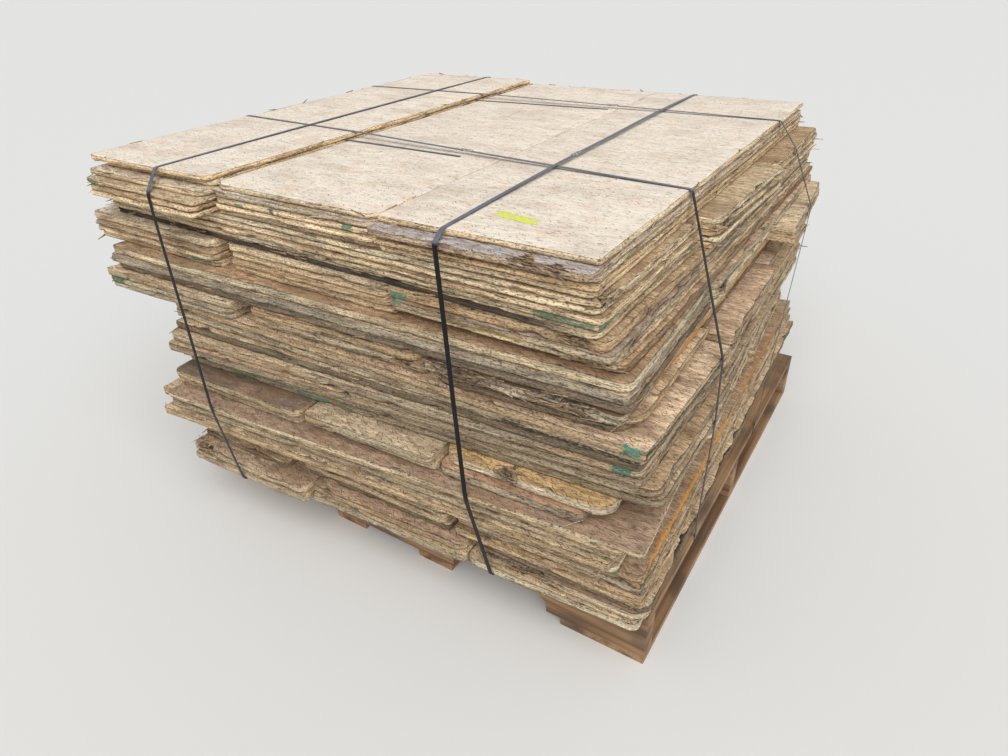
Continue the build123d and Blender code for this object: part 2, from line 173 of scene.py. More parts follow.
# Torn places: board, side, place along it, half width, depth of the tear
TEARS = (
    ("course_10_right", 3, FRONT, 0.300, 0.016, 0.020),
    ("course_10_right", 3, FRONT, 0.352, 0.020, 0.010),
    ("course_10_right", 2, FRONT, 0.305, 0.012, 0.016),
    ("course_10_right", 3, FRONT, 0.150, 0.020, 0.006),
    ("course_09_front", 4, RIGHT, 0.000, 0.030, 0.012),
    ("course_08_right", 3, FRONT, 0.380, 0.022, 0.010),
    ("course_08_right", 1, FRONT, 0.400, 0.030, 0.012),
    ("course_06_right", 2, FRONT, 0.180, 0.060, 0.016),
    ("course_06_right", 2, FRONT, 0.360, 0.050, 0.012),
    ("course_06_middle", 1, FRONT, 0.045, 0.016, 0.018),
    ("course_04_right", 1, FRONT, 0.265, 0.016, 0.020),
    ("course_01_right", 1, FRONT, 0.300, 0.050, 0.012),
    ("course_01_left", 1, FRONT, -0.560, 0.050, 0.014),
    ("course_02_right", 3, FRONT, 0.180, 0.050, 0.012),
    ("course_07_middle", 1, RIGHT, 0.420, 0.020, 0.014),
    ("course_05_middle", 5, RIGHT, 0.400, 0.026, 0.014),
    ("course_05_middle", 3, RIGHT, 0.560, 0.030, 0.012),
    ("course_09_middle", 3, RIGHT, 0.410, 0.022, 0.012),
)
# From the front seam of the two right columns on top to the near right corner
SEAM_TO_CORNER = 0.406

# How a board's face looks: its colour, and how strongly its flakes and stains show
TOP_MAT = (*CREAM_FACE, 0.25)
LEDGE_CONTRAST = 0.8
# How often each edge tint is picked, and the least tint that a frayed strand starts from
TINT_CHANCES = (0.2, 0.2, 0.2, 0.14, 0.12, 0.14)
DARKEST_STRAND = linear((176, 146, 112))

# The walk round a board: the step that its density is summed over, and how near a side that
# shows the points already stand close
TRIAL_STEP = 0.001
FINE_ZONE = 0.09
# Wear of the cut edges: depth of the rot and of the slow wave, distance between bites, waving of
# the strand layers, the depth where the painted shade of an edge that stands back is darkest, the
# last ring's distance from the rim, and the length over which a paint mark fades
ROT_DEPTH = 0.008
WAVE_DEPTH = 0.0018
BITE_SPACING = 0.08
LAYER_WAVE = 0.0010
FULL_SHADE_DEPTH = 0.009
RING_INSET = 0.006
PAINT_FADE = 0.006
# Frayed strands: shortest and longest, how far their root is sunk, the room that they leave
# round a strap, and the faces of one bar
SLIVER_LENGTHS = (0.010, 0.034)
SLIVER_ROOT = 0.004
STRAP_ROOM = 0.022
BAR_FACES = np.array([[3, 2, 1, 0], [4, 5, 6, 7], [1, 5, 4, 0], [2, 6, 5, 1], [3, 7, 6, 2],
                      [0, 4, 7, 3]])
# The label: its place right of the seam and behind the front edge, its length and width, the
# heights of its two faces over the board, and its paint
LABEL_PLACE = (0.215, 0.094)
LABEL_SIZE = (0.078, 0.021)
LABEL_HEIGHTS = (0.0003, 0.0006)
LABEL_PAINT = (*linear((222, 234, 70)), 2.0)
# The straps' CAD solids: width of a band, least height of a closed one, and how near to each
# other two points are the same corner
CAD_STRAP_WIDTH = 0.016
LEAST_BAND_HEIGHT = 0.3
SAME_CORNER = 0.00002
# The dressed bands: thickness, rounding of a bend, spacing of the sections, how far a band drifts
# to the side, the least spacing, and the step of the pattern where a closed band meets its start
BAND_THICKNESS = 0.0008
BEND_RADIUS = 0.006
STRAP_STEP = 0.006
STRAP_DRIFT = 0.0016
SHORTEST_STEP = 0.0004
SEAM_STEP = 0.004
# Seals: length, how much wider than the band, thickness, and where the notches are
SEAL_LENGTH = 0.030
SEAL_OVERLAP = 0.0024
SEAL_THICKNESS = 0.0026
SEAL_NOTCHES = (-0.006, 0.006)
# The stage: half the floor's side, the lamp's direction and spread, and the camera's sensor and
# the nearest and furthest that it sees
FLOOR_REACH = 60.0
LAMP_DIRECTION = (0.42, -0.51, 0.75)
LAMP_SPREAD = math.radians(70.0)
SENSOR_WIDTH = 36.0
CLIP_RANGE = (0.02, 200.0)


class BoardSettings(bpy.types.PropertyGroup):
    """Sizes of the boards' worn edges, and the colours of the strands."""

    fine_pitch: FloatProperty(
        name="Open edge pitch", description="Spacing of the points along edges that show",
        default=0.0050, min=0.002, unit="LENGTH")
    coarse_pitch: FloatProperty(
        name="Hidden edge pitch", description="Spacing of the points along edges inside the stack",
        default=0.03, min=0.005, unit="LENGTH")
    layer_height: FloatProperty(
        name="Strand layer", description="Height of one layer of strands in a board's edge",
        default=0.0026, min=0.001, unit="LENGTH")
    ragged: FloatProperty(
        name="Raggedness", description="How far strand layers stand back from the cut edge",
        default=0.0030, min=0.0, unit="LENGTH")
    rounding: FloatProperty(
        name="Edge wear", description="How far the upper and lower edges are worn back",
        default=0.0024, min=0.0, unit="LENGTH")
    sliver_gap: FloatProperty(
        name="Sliver spacing", description="Usual distance between frayed strands on an edge",
        default=0.075, min=0.01, unit="LENGTH")
    resin: FloatVectorProperty(
        name="Resin", description="Colour of the dark pores and strand ends", subtype="COLOR",
        size=4, default=colour(56, 40, 26), min=0.0, max=1.0)
    bark: FloatVectorProperty(
        name="Bark", description="Colour of the dark flecks on a board's face", subtype="COLOR",
        size=4, default=colour(112, 86, 66), min=0.0, max=1.0)


class TimberSettings(bpy.types.PropertyGroup):
    """Colours of the pallet's timber."""

    wood: FloatVectorProperty(
        name="Timber", description="Colour of the pallet's wood", subtype="COLOR", size=4,
        default=colour(160, 124, 88), min=0.0, max=1.0)


class StrapSettings(bpy.types.PropertyGroup):
    """Colours of the straps and their seals."""

    band: FloatVectorProperty(
        name="Band", description="Colour of the straps", subtype="COLOR", size=4,
        default=colour(15, 15, 17), min=0.0, max=1.0)
    # The colour of the painted sheen on the straps' upward faces
    dust: FloatVectorProperty(
        name="Sheen", description="Colour of the dusty upper faces of the straps",
        subtype="COLOR", size=4, default=colour(112, 118, 130), min=0.0, max=1.0)
    roughness: FloatProperty(
        name="Band roughness", description="How dull the straps are", default=0.34,
        min=0.0, max=1.0, subtype="FACTOR")
    width: FloatProperty(
        name="Band width", description="Width of the straps", default=0.0095, min=0.005,
        unit="LENGTH")


class StageSettings(bpy.types.PropertyGroup):
    """The floor, the light and the camera."""

    floor: FloatVectorProperty(
        name="Floor", description="Colour of the floor and of the backdrop", subtype="COLOR",
        size=4, default=colour(226, 226, 224), min=0.0, max=1.0)
    right_of: FloatProperty(
        name="Camera right", description="Camera's distance right of the top board's near corner",
        default=0.364, unit="LENGTH")
    before: FloatProperty(
        name="Camera before", description="Camera's distance in front of that corner",
        default=0.796, unit="LENGTH")
    above: FloatProperty(
        name="Camera above", description="Camera's height above that corner",
        default=0.358, unit="LENGTH")
    yaw: FloatProperty(
        name="Yaw", description="Turn of the camera to the left", default=math.radians(33.58),
        subtype="ANGLE")
    pitch: FloatProperty(
        name="Pitch", description="Tilt of the camera downwards", default=math.radians(32.01),
        subtype="ANGLE")
    roll: FloatProperty(
        name="Roll", description="Roll of the camera", default=math.radians(-2.05),
        subtype="ANGLE")
    lens: FloatProperty(
        name="Lens", description="Focal length on a 36 mm wide sensor, in millimetres",
        default=24.35, min=1.0)
    lamp: FloatProperty(
        name="Lamp", description="Strength of the soft lamp", default=2.2, min=0.0)
    sky: FloatProperty(
        name="Sky", description="Strength of the even light from all round", default=0.50, min=0.0)
    backdrop: FloatProperty(
        name="Backdrop", description="How bright the sky looks behind the floor", default=0.78,
        min=0.0, max=1.0)


def put_mesh(name, points, faces, uvs=None, face_values=None, point_colours=None):
    """A mesh object from whole arrays.

    faces is a list of arrays, each (faces, corners) of point numbers, and uvs holds the matching
    (faces, corners, 2) arrays. The corners of all faces follow each other in one list, and each
    face starts where the faces before it end.
    """
    mesh = bpy.data.meshes.new(name)
    mesh.vertices.add(len(points))
    mesh.vertices.foreach_set("co", np.asarray(points, np.float32).ravel())
    corners = np.concatenate([part.ravel() for part in faces]).astype(np.int32)
    counts = np.concatenate([np.full(len(part), part.shape[1]) for part in faces])
    mesh.loops.add(len(corners))
    mesh.loops.foreach_set("vertex_index", corners)
    mesh.polygons.add(len(counts))
    starts = np.concatenate([[0], np.cumsum(counts)[:-1]]).astype(np.int32)
    mesh.polygons.foreach_set("loop_start", starts)
    mesh.update(calc_edges=True)
    if uvs is not None:
        layer = mesh.uv_layers.new(name="grain")
        flat = np.concatenate([part.reshape(-1, 2) for part in uvs])
        layer.uv.foreach_set("vector", flat.astype(np.float32).ravel())
    for label, values in (face_values or {}).items():
        attribute = mesh.attributes.new(label, "FLOAT", "FACE")
        attribute.data.foreach_set("value", np.asarray(values, np.float32))
    for label, values in (point_colours or {}).items():
        attribute = mesh.attributes.new(label, "FLOAT_COLOR", "POINT")
        attribute.data.foreach_set("color", np.asarray(values, np.float32).ravel())
    thing = bpy.data.objects.new(name, mesh)
    bpy.context.scene.collection.objects.link(thing)
    return thing


def boards_in(node):
    """The boards of a CAD node, lowest first: each one's outline and its two faces' heights.

    A board is a level slab with a convex outline, so its outline is the points of its lower face
    put in the order of their angle round the middle.
    """
    mesh = NODES[node].data
    flat = np.empty(len(mesh.vertices) * 3)
    mesh.vertices.foreach_get("co", flat)
    points = np.unique(flat.reshape(-1, 3).round(5), axis=0)
    levels = np.unique(points[:, 2])
    found = []
    for bottom, top in zip(levels[::2], levels[1::2]):
        outline = points[points[:, 2] == bottom, :2]
        middle = (outline.min(axis=0) + outline.max(axis=0)) / 2
        angles = np.arctan2(outline[:, 1] - middle[1], outline[:, 0] - middle[0])
        found.append((outline[np.argsort(angles)], bottom, top))
    return found


def unit(vectors):
    """Each vector of an array made one long."""
    return vectors / np.linalg.norm(vectors, axis=-1, keepdims=True)


def axis_along(side):
    """The axis that runs along a side: X for the front and the back, Y for the other two."""
    return 0 if side[0] == 0.0 else 1


def grid_faces(rows, columns, closed_rows=False, closed_columns=False):
    """The four corners of each cell of a grid of points, which may close on itself."""
    row = np.arange(rows if closed_rows else rows - 1)[:, None]
    column = np.arange(columns if closed_columns else columns - 1)
    row_after, column_after = (row + 1) % rows, (column + 1) % columns
    return np.stack([row * columns + column, row_after * columns + column,
                     row_after * columns + column_after, row * columns + column_after], axis=-1)


def smooth_noise(rng, places, length, pitch, rows):
    """Random numbers from 0 to 1 for each place round a closed line and each row.

    Random numbers stand every pitch round the line, and between two of them the value follows
    the curve 3t^2 - 2t^3 of the share t of the way.
    """
    cells = max(3, int(round(length / pitch)))
    table = rng.random((cells, rows))
    along = (places / length * cells) % cells
    cell = along.astype(int)
    share = along - cell
    share = (share * share * (3.0 - 2.0 * share))[:, None]
    return table[cell % cells] * (1.0 - share) + table[(cell + 1) % cells] * share


def walk_round(outline, open_sides, settings):
    """Points round a convex outline, their outward directions, the distances walked, the whole
    distance, and how far each point belongs to a side that shows, from 0 to 1.

    The number of points per metre is high on sides that show and near them, and low inside the
    stack: the running sum of that density is cut into equal steps.
    """
    closed = np.vstack([outline, outline[:1]])
    steps = np.diff(closed, axis=0)
    lengths = np.hypot(steps[:, 0], steps[:, 1])
    reached = np.concatenate([[0.0], np.cumsum(lengths)])
    total = reached[-1]

    def spots_at(places):
        return np.stack([np.interp(places, reached, closed[:, axis]) for axis in (0, 1)], axis=1)

    trial = np.linspace(0.0, total, int(total / TRIAL_STEP))
    edge = np.clip(np.searchsorted(reached, trial, side="right") - 1, 0, len(lengths) - 1)
    outward = np.stack([steps[:, 1], -steps[:, 0]], axis=1)[edge] / lengths[edge, None]
    sides = np.array(open_sides).T
    facing = (outward @ sides).max(axis=1) > 0.6
    beyond = spots_at(trial) @ sides - (outline @ sides).max(axis=0)
    fine = facing | (beyond.max(axis=1) > -FINE_ZONE)
    density = np.where(fine, 1.0 / settings.fine_pitch, 1.0 / settings.coarse_pitch)
    counted = np.concatenate([[0.0], np.cumsum(density[:-1] * np.diff(trial))])
    number = int(math.ceil(counted[-1]))
    walked = np.interp(np.arange(number) * counted[-1] / number, counted, trial)
    points = spots_at(walked)
    tangents = unit(np.roll(points, -2, axis=0) - np.roll(points, 2, axis=0))
    outward = np.stack([tangents[:, 1], -tangents[:, 0]], axis=1)
    shown = np.clip(((outward @ sides).max(axis=1) - 0.2) / 0.5, 0.0, 1.0)
    return points, outward, walked, total, shown


def bell(distance, width):
    """A bell curve: 1 at no distance, and e^-1 at the width."""
    return np.exp(-(distance / width) ** 2)


def edge_wear(walk, share, marks, settings, rng, noise):
    """How far each point of a board's edge stands back from the outline, and how worn its lower
    and its upper rim are at each place.

    It is the sum of the rims' wear, which grows with the sixth power of the distance from the
    middle height, the unevenness of the strand layers, rot, which is the cube of a slow wave
    times each layer's own wave, a slow wave of the whole edge, and bites and tears, each a bell
    curve of the distance from its place. On sides that don't show there is none of this, and the
    board is widened by the given amount instead.
    """
    points, outward, walked, total, shown = walk
    worse = marks["worse"]
    wear = noise(0.05, 2)
    worn = np.where(share > 0.5, wear[:, 1:], wear[:, :1])
    inset = settings.rounding * (0.35 + 1.3 * worn) * np.abs(2.0 * share - 1.0) ** 6
    layers = noise(0.020) * 0.6 + noise(0.008) * 0.4
    inset += worse * settings.ragged * layers ** 1.6
    inset += worse * ROT_DEPTH * noise(0.11, 1) ** 3 * noise(0.030) ** 2
    inset += worse * WAVE_DEPTH * noise(0.14, 1)
    bites = int(total / BITE_SPACING)
    place = rng.random(bites) * total
    width = 0.004 + 0.018 * rng.random(bites) ** 2
    depth = worse * (0.001 + 0.009 * rng.random(bites) ** 3)
    upper = rng.random(bites) > 0.45
    apart = (walked[:, None] - place + total / 2) % total - total / 2
    bitten = bell(apart, width) * depth
    inset += bitten @ np.where(upper[:, None], share ** 2, (1.0 - share) ** 2)
    for side, along, half, deep in marks["tears"]:
        facing = outward @ np.array(side) > 0.7
        torn = bell(points[:, axis_along(side)] - along, half) * deep * facing
        inset += torn[:, None] * (0.3 + 1.4 * noise(0.006)) * (0.25 + share)
    inset = inset * shown[:, None] - marks["widened"] * (1.0 - shown[:, None])
    return inset, wear


def edge_tints_and_shade(walk, share, inset, marks, rng, noise):
    """The tint of each point with painted shade: two tints mixed along the edge, painted shade
    where strands stand back and in the joints with the boards above and below, the lower rim
    darkest, and the board's own coat over them."""
    points, shown = walk[0], walk[4][:, None]
    pick = EDGE_TINTS[rng.choice(len(EDGE_TINTS), 2, p=TINT_CHANCES)]
    mixed = noise(0.16, 1)[:, :, None]
    light = marks["light"] * (0.66 + 0.56 * noise(0.055))
    light *= 0.84 + 0.30 * rng.random()
    # Painted shade, deeper where the edge stands further back from the outline
    light *= 1.0 - 0.75 * np.clip(inset / FULL_SHADE_DEPTH, 0.0, 1.0)
    # Painted shade in the joints with the boards above and below: the lower rim nearly black, the
    # upper rim lighter as if lit from above
    joint_light_left = np.where(share < 0.5, 0.02 + 0.08 * rng.random(), 0.08 + 0.45 * rng.random())
    light *= 1.0 - np.abs(2.0 * share - 1.0) ** 6 * (1.0 - joint_light_left) * shown
    light = light[:, :, None]
    shades = (pick[0] * (1.0 - mixed) + pick[1] * mixed) * light
    if marks["coat"] is not None:
        *coat, strength = marks["coat"]
        strength = strength * (0.9 + 0.1 * noise(0.03))
        strength *= np.clip((marks["coat_end"] - points[:, :1]) / COAT_FADE + 1.0, 0.15, 1.0)
        strength = strength[:, :, None]
        shades = shades * (1.0 - strength) + linear(coat) * light * strength
    tints = np.ones((len(points), len(share) + 1, 4))
    tints[:, :-1, :3] = shades
    tints[:, -1, :3] = shades[:, -1]
    return tints


def board_surface(walk, bottom, top, marks, settings, rng):
    """One board's closed surface as a grid of distance round its outline and height in its edge,
    the tint with painted shade of every point, and the rows' heights as shares of the thickness.

    A grid point stands back from the outline by the edge's wear, and the rows between the rims
    wave up and down a little. One more ring lies on the upper face, shrunk towards the board's
    middle, and the two faces are closed by one polygon each.
    """
    points, outward, walked, total, _ = walk
    thickness = top - bottom
    rows = max(6, int(round(thickness / settings.layer_height)) + 1)
    share = np.linspace(0.0, 1.0, rows)
    share[1] *= 0.55
    share[-2] = 1.0 - share[1]

    def noise(pitch, count=rows):
        return smooth_noise(rng, walked, total, pitch, count)

    inset, wear = edge_wear(walk, share, marks, settings, rng, noise)
    grid = np.empty((len(points), rows + 1, 3))
    grid[:, :rows, :2] = points[:, None] - outward[:, None] * inset[:, :, None]
    wave = LAYER_WAVE * (noise(0.03) - 0.5)
    grid[:, :rows, 2] = bottom + thickness * share + wave * (1.0 - np.abs(2 * share - 1))
    middle = (points.min(axis=0) + points.max(axis=0)) / 2
    half = np.ptp(points, axis=0) / 2
    grid[:, rows, :2] = middle + (grid[:, rows - 1, :2] - middle) * (1.0 - RING_INSET / half)
    grid[:, rows, 2] = top
    rounded = 0.0004 + 0.0010 * wear
    grid[:, rows - 1, 2] = top - rounded[:, 1]
    grid[:, 0, 2] = bottom + rounded[:, 0]
    return grid, edge_tints_and_shade(walk, share, inset, marks, rng, noise), share


def paint_board(grid, outward, share, marks):
    """The paint on each point: its colour, and how thick it is there.

    Along the side the thickness rises and falls over a short fade at both ends of a mark, and
    up the edge it is full on the rows between the mark's two heights.
    """
    paint = np.zeros((*grid.shape[:2], 4))
    level = np.append(share, 1.0)
    for side, low, high, under, over, shade in marks["paint"]:
        along = grid[:, :, axis_along(side)]
        ends = np.clip((along - low) / PAINT_FADE, 0.0, 1.0)
        ends *= np.clip((high - along) / PAINT_FADE, 0.0, 1.0)
        facing = np.clip((outward @ np.array(side) - 0.5) / 0.3, 0.0, 1.0)[:, None]
        thick = ends * facing * ((level >= under - 0.01) & (level <= over + 0.01))
        thick[:, -1] = 0.0
        more = thick > paint[:, :, 3]
        paint[more, :3] = linear(shade)
        paint[more, 3] = thick[more]
    return paint


def slivers(spots, tangents, outward, tint, rng):
    """Frayed strands: thin bars with a pointed end that leave the edge at a low angle.

    A bar has two rings of four corners, root and tip, and the tip stands further out, bent up or
    down, and is half as wide. Each bar's 8 points and 6 faces come from its own random numbers.
    """
    number = len(spots)
    reach = rng.uniform(*SLIVER_LENGTHS, number)[:, None]
    out = (rng.random(number) ** 2 * 0.0055 + 0.0003)[:, None]
    sense = np.where(rng.random(number) > 0.5, 1.0, -1.0)[:, None]
    tip = np.zeros((number, 3))
    tip[:, :2] = tangents * sense * reach + outward * out
    tip[:, 2] = rng.normal(0.0, 0.0022, number)
    ahead = unit(tip)
    flat = np.zeros((number, 3))
    flat[:, :2] = outward
    up = unit(np.cross(flat, ahead))
    across = np.cross(ahead, up)
    wide = rng.uniform(0.0008, 0.0024, number)[:, None]
    thin = rng.uniform(0.0003, 0.0006, number)[:, None]
    corners = []
    for end, size in ((spots - ahead * SLIVER_ROOT, 1.0), (spots + tip, 0.45)):
        for one, other in ((-1, -1), (1, -1), (1, 1), (-1, 1)):
            corners.append(end + up * wide * size * one + across * thin * size * other)
    points = np.stack(corners, axis=1).reshape(-1, 3)
    faces = (np.arange(number)[:, None, None] * 8 + BAR_FACES).reshape(-1, 4)
    tints = np.ones((number, 8, 4))
    tints[:, :, :3] = (tint * rng.uniform(0.5, 1.25, number)[:, None])[:, None]
    return points, faces, tints.reshape(-1, 4)


def edges_of(node):
    """A CAD node's different corners, and the two corner numbers of each of its edges. Corners
    nearer to each other than a hair's width count as the first of them."""
    mesh = NODES[node].data
    points = np.empty(len(mesh.vertices) * 3)
    mesh.vertices.foreach_get("co", points)
    pairs = np.empty(len(mesh.edges) * 2, dtype=int)
    mesh.edges.foreach_get("vertices", pairs)
    corners, same = np.unique(points.reshape(-1, 3).round(6), axis=0, return_inverse=True)
    gaps = np.linalg.norm(corners[:, None] - corners, axis=2)
    first = (gaps < SAME_CORNER).argmax(axis=1)
    return corners, first[same.ravel()[pairs.reshape(-1, 2)]]


def strap_runs():
    """Both ends of every edge of the straps' CAD meshes."""
    found = [corners[pairs] for corners, pairs in map(edges_of, STRAP_NODES)]
    found = np.concatenate(found)
    return found[:, 0], found[:, 1]


def strap_paths(node):
    """The middle line of each solid of a strap's CAD node: its points in order, whether it is a
    closed band, and the direction across it.

    An edge as long as the band is wide runs across it, at one face or the other of a bend's
    section, so the mean of the middles of such edges within 3 mm of each other is a point of the
    line. Corners joined by edges belong to one solid: they take the lowest number among them.
    The points of a band are sorted by their angle round its middle, and those of a loose end,
    which isn't as high, by the distance along it.
    """
    corners, pairs = edges_of(node)
    owner = np.arange(len(corners))
    settled = False
    while not settled:
        lower = owner.copy()
        np.minimum.at(lower, pairs[:, 0], owner[pairs[:, 1]])
        np.minimum.at(lower, pairs[:, 1], owner[pairs[:, 0]])
        settled = bool((lower == owner).all())
        owner = lower
    lengths = np.linalg.norm(corners[pairs[:, 0]] - corners[pairs[:, 1]], axis=1)
    across = pairs[np.abs(lengths - CAD_STRAP_WIDTH) < 0.0002]
    found = []
    for number in np.unique(owner[across[:, 0]]):
        own = across[owner[across[:, 0]] == number]
        middles = corners[own].mean(axis=1)
        near = np.linalg.norm(middles[:, None] - middles, axis=2) < 0.003
        line = np.unique((near @ middles / near.sum(axis=1)[:, None]).round(7), axis=0)
        away = line - (line.min(axis=0) + line.max(axis=0)) / 2
        size = np.ptp(line, axis=0)
        along = int(np.argmax(size[:2]))
        closed = size[2] > LEAST_BAND_HEIGHT
        order = np.argsort(np.arctan2(away[:, 2], away[:, along]) if closed else away[:, along])
        found.append((line[order], closed, unit(corners[own[0, 0]] - corners[own[0, 1]])))
    return found


def smooth_line(line, closed, radius, step):
    """The line with its corners rounded, as points about step apart, and the distance to each.

    Each corner is cut by the parabola that starts and ends at most radius from it, and halfway
    at most to the next corner: its points are (1-t)^2 start + 2t(1-t) corner + t^2 end.
    """
    before, after = np.roll(line, 1, axis=0), np.roll(line, -1, axis=0)
    if not closed:
        before[0], after[-1] = line[0], line[-1]
    cuts = []
    for way in (before - line, after - line):
        length = np.linalg.norm(way, axis=1)[:, None]
        cuts.append(line + way / np.maximum(length, 1e-9) * np.minimum(radius, length * 0.45))
    share = np.linspace(0.0, 1.0, 6)[:, None, None]
    bends = (1 - share) ** 2 * cuts[0] + 2 * share * (1 - share) * line + share ** 2 * cuts[1]
    points = bends.transpose(1, 0, 2).reshape(-1, 3)
    if closed:
        points = np.vstack([points, points[:1]])
    points = points[np.append(True, np.linalg.norm(np.diff(points, axis=0), axis=1) > 1e-6)]
    reached = np.append(0.0, np.cumsum(np.linalg.norm(np.diff(points, axis=0), axis=1)))
    even = np.linspace(0.0, reached[-1], int(reached[-1] / step) + 2)
    places = np.union1d(reached.round(6), even.round(6))
    places = places[np.append(True, np.diff(places) > SHORTEST_STEP)]
    if closed:
        places = places[places < reached[-1] - SHORTEST_STEP]
    smooth = [np.interp(places, reached, points[:, axis]) for axis in range(3)]
    return np.stack(smooth, axis=1), places


def band_profile(width, thickness):
    """A flat band's section: a super-ellipse of high power, as 12 places across and through."""
    turn = np.linspace(0.0, 2 * np.pi, 12, endpoint=False) + np.pi / 12
    across = np.sign(np.cos(turn)) * np.abs(np.cos(turn)) ** 0.35 * width / 2
    through = np.sign(np.sin(turn)) * np.abs(np.sin(turn)) ** 0.45 * thickness / 2
    return across, through


def carry_profile(line, places, closed, sideways, width, thickness, swell=None):
    """A band carried along a line: each section is the profile laid across it.

    The band's across direction is sideways made square to the line, and its through direction
    is square to both. swell gives each section's share of the width and of the thickness.
    """
    if closed:
        ahead = np.roll(line, -1, axis=0) - np.roll(line, 1, axis=0)
    else:
        ahead = np.gradient(line, axis=0)
    ahead = unit(ahead)
    across = unit(sideways - (ahead @ sideways)[:, None] * ahead)
    through = np.cross(ahead, across)
    wide, deep = band_profile(width, thickness)
    size = np.ones((len(line), 2)) if swell is None else swell
    grid = line[:, None] + across[:, None] * (wide * size[:, :1])[:, :, None]
    grid += through[:, None] * (deep * size[:, 1:])[:, :, None]
    number, ring = len(line), len(wide)
    quads = grid_faces(number, ring, closed, True)[:, :, [0, 3, 2, 1]].reshape(-1, 4)
    run = np.stack(np.broadcast_arrays(places[:, None], wide), axis=-1).reshape(-1, 2)
    faces, uvs = [quads], [run[quads]]
    if closed:
        uvs[0][-ring:, 2:, 0] = places[-1] + SEAM_STEP
    else:
        spot = np.arange(ring)
        faces.append(np.stack([spot[::-1], (number - 1) * ring + spot]))
        uvs.append(run[faces[1]])
    return grid.reshape(-1, 3), faces, uvs


def join_blocks(blocks):
    """Several (points, faces, uvs) blocks as one, with each block's faces counted on."""
    count = 0
    points, quads, quad_uvs, ends, end_uvs = [], [], [], [], []
    for block, faces, uvs in blocks:
        points.append(block)
        quads.append(faces[0] + count)
        quad_uvs.append(uvs[0])
        if len(faces) > 1:
            ends.append(faces[1] + count)
            end_uvs.append(uvs[1])
        count += len(block)
    return np.vstack(points), [np.vstack(quads), *ends], [np.concatenate(quad_uvs), *end_uvs]


def near_corner():
    """The near right corner of the right column's top board, from which places are measured."""
    outline, _, top = boards_in("course_10_right")[-1]
    return outline[:, 0].max(), outline[:, 1].min(), top


def clear_of_straps(spots, runs, gap):
    """Which places are further than gap from every strap: the distance from a point to each
    edge is that to the nearest point of the edge's segment."""
    starts, ends = runs
    along = ends - starts
    share = ((spots[:, None] - starts) * along).sum(axis=2) / ((along ** 2).sum(axis=1) + 1e-12)
    nearest = starts + np.clip(share, 0.0, 1.0)[:, :, None] * along
    return np.linalg.norm(spots[:, None] - nearest, axis=2).min(axis=1) > gap


def board_faces(grid, walked, total, offset):
    """The faces of a board's grid, their pattern coordinates in metres, and which faces belong
    to the cut edge: the edge's faces first, then the upper rim's, then the two caps.

    On the edge the coordinates are the distance round the outline and the height. On the two
    faces they are the distances to the right and away, because the strands lie left to right.
    """
    number, rows = grid.shape[0], grid.shape[1] - 1
    corners = grid_faces(number, rows + 1, closed_rows=True)
    after = np.append(walked[1:], total)
    low, high = grid[:, :rows, 2].mean(axis=0), grid[:, 1:, 2].mean(axis=0)
    edge_uv = np.empty((number, rows, 4, 2))
    edge_uv[..., 0] = np.stack([walked, after, after, walked], axis=-1)[:, None]
    edge_uv[..., 1] = np.stack([low, low, high, high], axis=-1)
    edge_uv = (edge_uv + offset)[:, :rows - 1].reshape(-1, 4, 2)
    flat_uv = (grid[:, :, :2] + offset).reshape(-1, 2)
    here = np.arange(number) * (rows + 1)
    side, rim = corners[:, :rows - 1].reshape(-1, 4), corners[:, rows - 1]
    caps = np.stack([here + rows, here[::-1]])
    flags = np.repeat((1.0, 0.0), (len(side), len(rim)))
    return (side, rim, caps), (edge_uv, flat_uv[rim], flat_uv[caps]), flags


def marks_of(node, level, origin):
    """The coat, paint marks and tears of one board, moved from the seam to the frame, with its
    lightness, its wear and how much it is widened where it doesn't show."""
    board = (node, level)
    paint = [(side, low + origin[axis_along(side)], high + origin[axis_along(side)], *rest)
             for name, number, side, low, high, *rest in PAINT_MARKS if (name, number) == board]
    tears = [(side, along + origin[axis_along(side)], half, deep)
             for name, number, side, along, half, deep in TEARS if (name, number) == board]
    course = int(node.split("_")[1])
    return {"coat": EDGE_COATS.get(board), "paint": paint, "tears": tears,
            "coat_end": COAT_ENDS.get(board, NO_END) + origin[0],
            "widened": 0.0013 if node in ("course_10_middle", "course_10_right") else 0.0,
            "light": COURSE_LIGHT[course - 1], "worse": 0.45 if course == 10 else 0.85}


def frayed_strands(walk, grid, tints, marks, runs, settings, rng):
    """Slivers spread over a board's fine edges, with more of them round its tears, and none
    near a strap."""
    points, outward, walked, total, _ = walk
    fine = np.flatnonzero(np.diff(np.append(walked, total)) < settings.fine_pitch * 1.5)
    number = int(len(fine) * settings.fine_pitch / settings.sliver_gap)
    chosen = rng.choice(fine, number) if number else np.empty(0, int)
    for side, along, half, deep in marks["tears"]:
        close = np.abs(points[:, axis_along(side)] - along) < 1.6 * half
        close = np.flatnonzero(close & (outward @ np.array(side) > 0.7))
        if len(close):
            chosen = np.append(chosen, rng.choice(close, int(26 + deep * 900)))
    row = rng.integers(1, grid.shape[1] - 1, len(chosen))
    spots = grid[chosen, row]
    keep = clear_of_straps(spots, runs, STRAP_ROOM)
    chosen, row, spots = chosen[keep], row[keep], spots[keep]
    tangents = np.stack([-outward[chosen, 1], outward[chosen, 0]], axis=1)
    shade = np.maximum(tints[chosen, row, :3], DARKEST_STRAND)
    return slivers(spots, tangents, outward[chosen], shade, rng)


